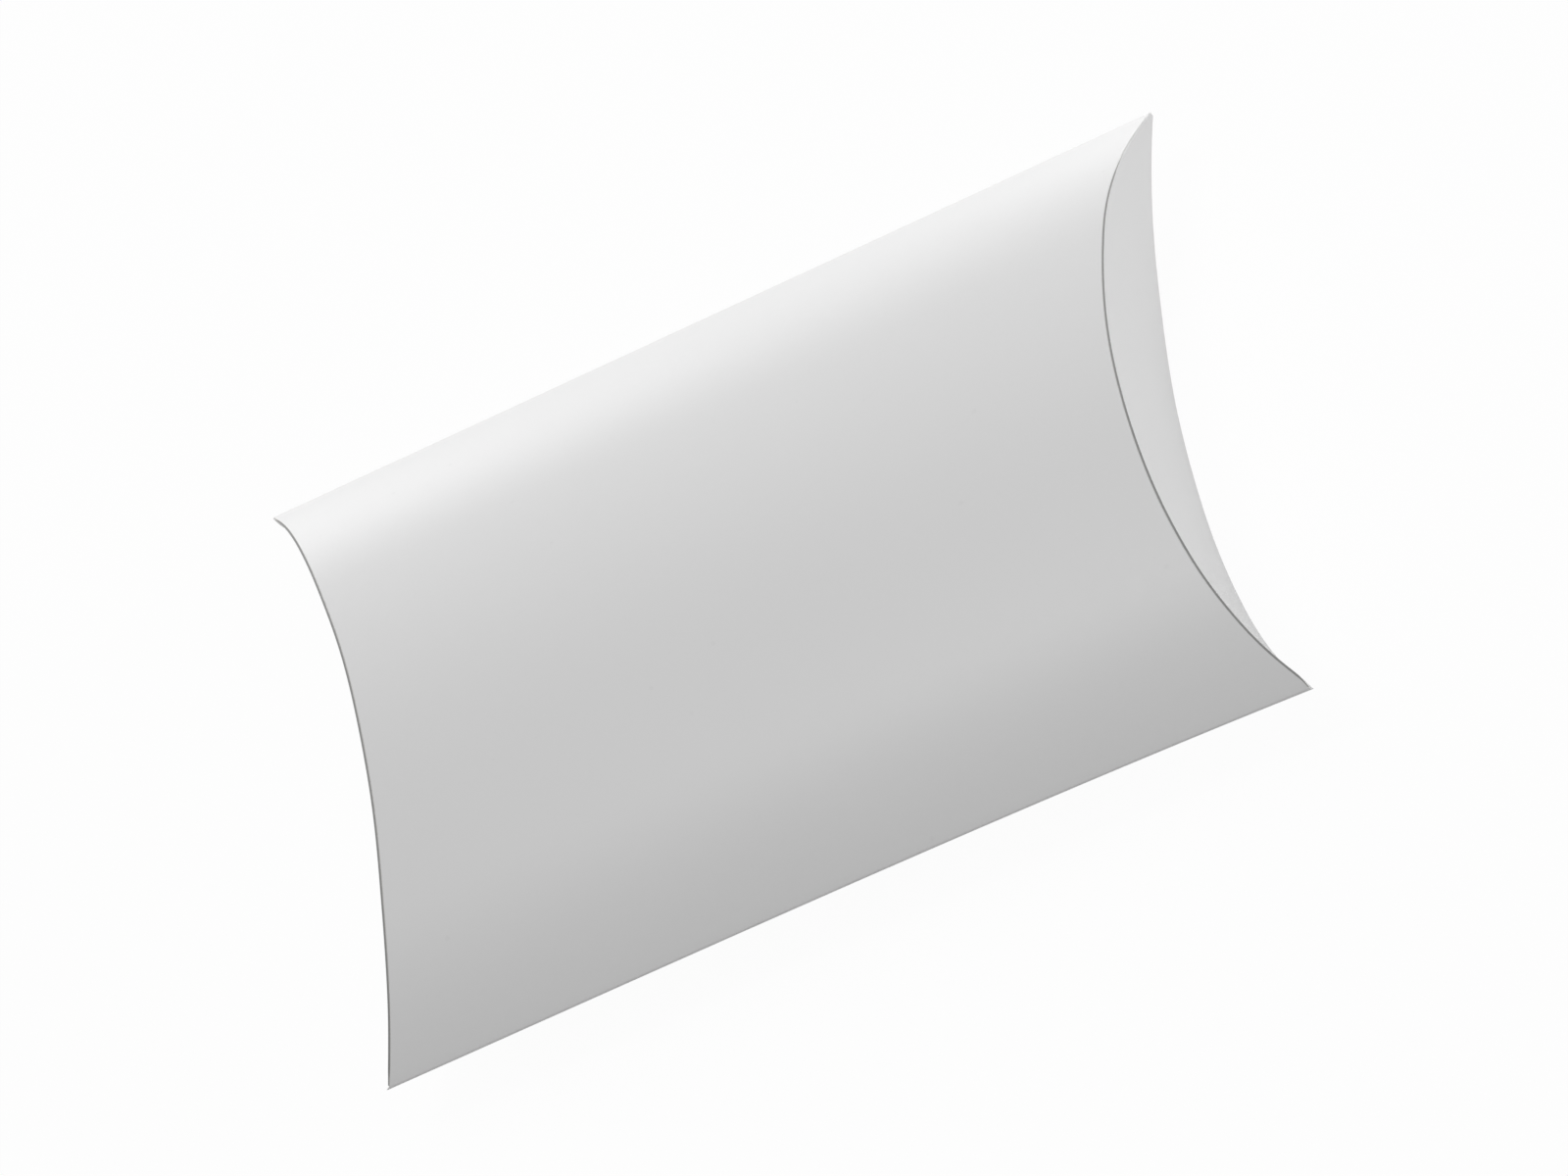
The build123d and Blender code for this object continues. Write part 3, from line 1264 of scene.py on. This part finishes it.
class MaterialTree:
    """The nodes of one material, read in Object coordinates and in a leaf's own attributes."""

    def __init__(self, name: str) -> None:
        """Makes the material.

        Args:
            name: the material's name.
        """
        self.material = bpy.data.materials.new(name)
        self.material.use_nodes = True
        self.tree = self.material.node_tree
        self.shader = self.tree.nodes["Principled BSDF"]
        self.place = self.tree.nodes.new("ShaderNodeTexCoord").outputs["Object"]

    def stretched(self, stretch: Triple) -> bpy.types.NodeSocket:
        """Scales the Object coordinates.

        Args:
            stretch: the scale along each axis.

        Returns:
            The scaled coordinates.
        """
        node = self.tree.nodes.new("ShaderNodeMapping")
        node.inputs["Scale"].default_value = stretch
        self.tree.links.new(self.place, node.inputs["Vector"])
        return node.outputs["Vector"]

    def noise(self, pattern: Pattern) -> Formula:
        """Adds unevenness about zero.

        Args:
            pattern: how coarse and how stretched it is.

        Returns:
            A value from about -0.5 to 0.5.
        """
        node = self.tree.nodes.new("ShaderNodeTexNoise")
        node.inputs["Scale"].default_value = pattern.scale
        node.inputs["Detail"].default_value = pattern.detail
        self.tree.links.new(self.stretched(pattern.stretch), node.inputs["Vector"])
        return Formula(self.tree, node.outputs["Fac"]) - 0.5

    def specks(self, scale: float, size: float, rarity: float) -> Formula:
        """Adds scattered dots.

        Args:
            scale: how many cells there are to a metre. A cell holds one dot at most.
            size: a dot's radius as a share of a cell.
            rarity: the share of the cells that stay empty.

        Returns:
            A value that is 1 in a dot and 0 elsewhere.
        """
        node = self.tree.nodes.new("ShaderNodeTexVoronoi")
        node.inputs["Scale"].default_value = scale
        self.tree.links.new(self.place, node.inputs["Vector"])
        split = self.tree.nodes.new("ShaderNodeSeparateXYZ")
        self.tree.links.new(node.outputs["Color"], split.inputs[0])
        chosen = Formula(self.tree, split.outputs[0]).over(rarity)
        return Formula(self.tree, node.outputs["Distance"]).share(size, size / 2) * chosen

    def attribute(self, name: str) -> Formula:
        """Reads a value that the leaf's mesh keeps.

        Args:
            name: the name that it is kept under.

        Returns:
            The value.
        """
        node = self.tree.nodes.new("ShaderNodeAttribute")
        node.attribute_name = name
        return Formula(self.tree, node.outputs["Fac"])

    def colour(self, base: Triple, tone: Formula) -> None:
        """Gives the material its colour.

        Args:
            base: the base colour.
            tone: what it is multiplied by, about 1.
        """
        node = self.tree.nodes.new("ShaderNodeVectorMath")
        node.operation = "SCALE"
        node.inputs[0].default_value = base
        self.tree.links.new(tone.socket, node.inputs["Scale"])
        self.tree.links.new(node.outputs["Vector"], self.shader.inputs["Base Color"])

    def roughness(self, value: Formula) -> None:
        """Gives the material its roughness."""
        self.tree.links.new(value.socket, self.shader.inputs["Roughness"])

    def relief(self, height: Formula, distance: float) -> None:
        """Gives the material its fine relief.

        Args:
            height: the relief from about -0.5 to 0.5.
            distance: the height of one unit of it.
        """
        node = self.tree.nodes.new("ShaderNodeBump")
        node.inputs["Distance"].default_value = distance
        self.tree.links.new(height.socket, node.inputs["Height"])
        self.tree.links.new(node.outputs["Normal"], self.shader.inputs["Normal"])


@dataclass(frozen=True)
class BoardFinish:
    """How one side of the board looks.

    Args:
        name: the material's name.
        colour: its mean colour.
        roughness: its mean roughness.
        specular: how strongly it shines.
        cloud: how much its tone changes over a few centimetres.
        grain: how much its tone changes from fibre to fibre.
        relief: how high its fibres stand.
        fibre_run: how much longer a fibre is along the box than across it.
        speck: how much darker its scattered specks are.
        fold_wear: how much a fold is cracked and dulled.
        coat: how much lighter the two faces of a cut edge are than its core.
        fibre_scale: how many fibres there are to a metre.
        speck_scale: how many cells of one speck at most there are to a metre.
        speck_size: a speck's radius as a share of its cell.
        speck_rarity: the share of the cells that stay empty.
        fibre_roughness: how much rougher a fibre is.
        peel_roughness: how much rougher the crests of the coating's waves are.
        peel_relief: how much higher than the fibres those waves are.
        crack_relief: how much deeper than the fibres a crack is.
        crack_start: the unevenness at which a crack starts.
        crack_end: the unevenness at which it is fully open.
    """

    name: str
    colour: Triple
    roughness: float
    specular: float
    cloud: float
    grain: float
    relief: float
    fibre_run: float = 1.0
    speck: float = 0.0
    fold_wear: float = 0.0
    coat: float = 0.0
    fibre_scale: float = 1600.0
    speck_scale: float = 160.0
    speck_size: float = 0.09
    speck_rarity: float = 0.72
    fibre_roughness: float = 0.1
    peel_roughness: float = 0.06
    peel_relief: float = 2.0
    crack_relief: float = 1.5
    crack_start: float = 0.02
    crack_end: float = 0.2

    def make(self) -> bpy.types.Material:
        """Builds the material.

        Returns:
            The material.
        """
        tree = MaterialTree(self.name)
        tree.shader.inputs["Specular IOR Level"].default_value = self.specular
        fibre = tree.noise(Pattern(self.fibre_scale, 5.0, (1.0 / self.fibre_run, 1.0, 1.0)))
        peel = tree.noise(PEEL)
        tone = tree.noise(CLOUD) * self.cloud + fibre * self.grain + peel * (self.grain / 2) + 1.0
        rough = fibre * self.fibre_roughness + peel * self.peel_roughness + self.roughness
        relief = fibre + peel * self.peel_relief
        if self.speck:
            specks = tree.specks(self.speck_scale, self.speck_size, self.speck_rarity)
            tone = tone - specks * self.speck
        if self.fold_wear:
            fold = tree.attribute(FOLD_ATTRIBUTE)
            crack = tree.noise(CRACK).share(self.crack_start, self.crack_end) * fold
            tone = tone - crack * self.fold_wear
            rough = rough + fold * self.fold_wear
            relief = relief - crack * self.crack_relief
        if self.coat:
            rim = tree.attribute(SIDE_ATTRIBUTE) * 2.0 - 1.0
            tone = tone + rim * rim * rim * rim * self.coat + tree.noise(LAYER) * self.coat
        tree.colour(self.colour, tone)
        tree.roughness(rough)
        tree.relief(relief, self.relief)
        return tree.material


COATED = BoardFinish(
    "coated_board", (0.83, 0.83, 0.83), 0.42, 0.5, cloud=0.012, grain=0.014, relief=0.004 * MM,
    speck=0.03, fold_wear=0.05,
)
BARE = BoardFinish(
    "bare_board", (0.76, 0.75, 0.73), 0.8, 0.2, cloud=0.05, grain=0.12, relief=0.02 * MM,
    fibre_run=4.0, speck=0.15,
)
# The cut edges are painted dark grey: this colour is painted shade, standing for the shadow in the narrow
# groove along the end creases, with lighter coating layers at the edge's two faces.
CUT_EDGE_WITH_PAINTED_SHADE = BoardFinish(
    "cut_board", (0.35, 0.35, 0.345), 0.9, 0.1, cloud=0.05, grain=0.2, relief=0.03 * MM, coat=0.2
)
GLUE = BoardFinish(
    "dried_adhesive", (0.84, 0.82, 0.75), 0.4, 0.4, cloud=0.06, grain=0.05, relief=0.01 * MM
)


@dataclass(frozen=True)
class Lamp:
    """A square soft lamp that points at the box.

    Args:
        name: the lamp's name.
        direction: where it hangs, seen from the box.
        size: the side of its square.
        power: its power in watts.
        distance: how far away it hangs.
    """

    name: str
    direction: Triple
    size: float
    power: float
    distance: float = 1.2

    def hang(self) -> None:
        """Hangs the lamp."""
        data = bpy.data.lights.new(self.name, "AREA")
        data.size = self.size
        data.energy = self.power
        lamp = bpy.data.objects.new(self.name, data)
        way = Vector(self.direction).normalized()
        turn = way.to_track_quat("Z", "Y").to_matrix().to_4x4()
        lamp.matrix_world = Matrix.Translation(way * self.distance) @ turn
        bpy.context.scene.collection.objects.link(lamp)


@dataclass
class Studio:
    """The floor, the lamps and the camera."""

    camera_place: Triple = (407.064 * MM, -722.162 * MM, 1127.058 * MM)
    view: Triple = (-0.291476, 0.521385, -0.801997)
    image_right: Triple = (0.873465, -0.196754, -0.445362)
    lens: float = 183.349
    sensor: float = 36.0
    lamps: tuple[Lamp, ...] = (
        Lamp("top", (0.0, 0.5, 0.85), 0.8, 2.5),
        Lamp("overhead", (-0.15, 0.05, 0.98), 0.25, 2.5),
        Lamp("back_left", (-0.5, 0.86, 0.08), 0.5, 4.4),
        Lamp("back_low", (0.0, 1.0, 0.0625), 0.14, 3.9),
        Lamp("right", (0.97, -0.05, 0.22), 0.3, 4.3),
    )
    near_clip: float = 0.05
    far_clip: float = 20.0
    ambient: float = 0.296
    floor_half: float = 6.0
    floor_white: float = 0.9
    floor_glow: float = 0.96  # how much of the floor's look to the camera is plain white

    def camera(self) -> None:
        """Sets the camera at the photograph's viewing angle."""
        data = bpy.data.cameras.new("camera")
        data.sensor_width = self.sensor
        data.lens = self.lens
        data.clip_start, data.clip_end = self.near_clip, self.far_clip
        camera = bpy.data.objects.new("camera", data)
        back = -Vector(self.view).normalized()
        right = Vector(self.image_right)
        right = (right - back * right.dot(back)).normalized()
        up = back.cross(right)
        turn = Matrix((right, up, back)).transposed().to_4x4()
        camera.matrix_world = Matrix.Translation(Vector(self.camera_place)) @ turn
        bpy.context.scene.collection.objects.link(camera)
        bpy.context.scene.camera = camera

    def floor(self) -> None:
        """Lays the pale floor, white to the camera but still shadowed by the box."""
        mesh = bpy.data.meshes.new("floor")
        half = self.floor_half
        corners = [(-half, -half, 0.0), (half, -half, 0.0), (half, half, 0.0), (-half, half, 0.0)]
        mesh.from_pydata(corners, [], [(0, 1, 2, 3)])
        floor = bpy.data.objects.new("floor", mesh)
        bpy.context.scene.collection.objects.link(floor)
        material = bpy.data.materials.new("floor")
        material.use_nodes = True
        nodes, links = material.node_tree.nodes, material.node_tree.links
        shader = nodes["Principled BSDF"]
        shader.inputs["Base Color"].default_value = (*[self.floor_white] * 3, 1.0)
        shader.inputs["Roughness"].default_value = 1.0
        shader.inputs["Specular IOR Level"].default_value = 0.0
        glow = nodes.new("ShaderNodeEmission")
        glow.inputs["Strength"].default_value = 1.0
        path = nodes.new("ShaderNodeLightPath")
        mixed = nodes.new("ShaderNodeMixShader")
        share = nodes.new("ShaderNodeMath")
        share.operation = "MULTIPLY"
        share.inputs[1].default_value = self.floor_glow
        links.new(path.outputs["Is Camera Ray"], share.inputs[0])
        links.new(share.outputs[0], mixed.inputs["Fac"])
        links.new(shader.outputs[0], mixed.inputs[1])
        links.new(glow.outputs[0], mixed.inputs[2])
        links.new(mixed.outputs[0], nodes["Material Output"].inputs["Surface"])
        mesh.materials.append(material)
        floor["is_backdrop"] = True

    def world(self) -> None:
        """Lights the box from all round, with white behind it for the camera."""
        world = bpy.data.worlds.new("world")
        world.use_nodes = True
        nodes, links = world.node_tree.nodes, world.node_tree.links
        background = nodes["Background"]
        background.inputs["Color"].default_value = (1.0, 1.0, 1.0, 1.0)
        path = nodes.new("ShaderNodeLightPath")
        strength = nodes.new("ShaderNodeMapRange")
        strength.inputs["To Min"].default_value = self.ambient
        strength.inputs["To Max"].default_value = 1.0
        links.new(path.outputs["Is Camera Ray"], strength.inputs["Value"])
        links.new(strength.outputs["Result"], background.inputs["Strength"])
        bpy.context.scene.world = world

    def build(self) -> None:
        """Sets up the whole studio."""
        self.camera()
        self.floor()
        self.world()
        for lamp in self.lamps:
            lamp.hang()
        bpy.context.scene.view_settings.view_transform = "Standard"


def main() -> None:
    """Builds the box and its studio."""
    logging.basicConfig(level=logging.INFO, format="%(name)s %(message)s")
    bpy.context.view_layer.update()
    sizes = BoxSizes.from_frame()
    colours = BoardColours(COATED.make(), BARE.make(), CUT_EDGE_WITH_PAINTED_SHADE.make())
    panels = [Panel(sizes, belly, colours) for belly in Belly]
    flaps = [ClosingFlap(sizes, end, belly, colours) for end in End for belly in Belly]
    for part in (*panels, *flaps, GlueTab(sizes, colours), GlueLine(sizes, GLUE.make())):
        piece = part.build()
        log.info("%s: %d faces", piece.name, len(piece.data.polygons))
    Studio().build()


if __name__ == "__main__":
    main()
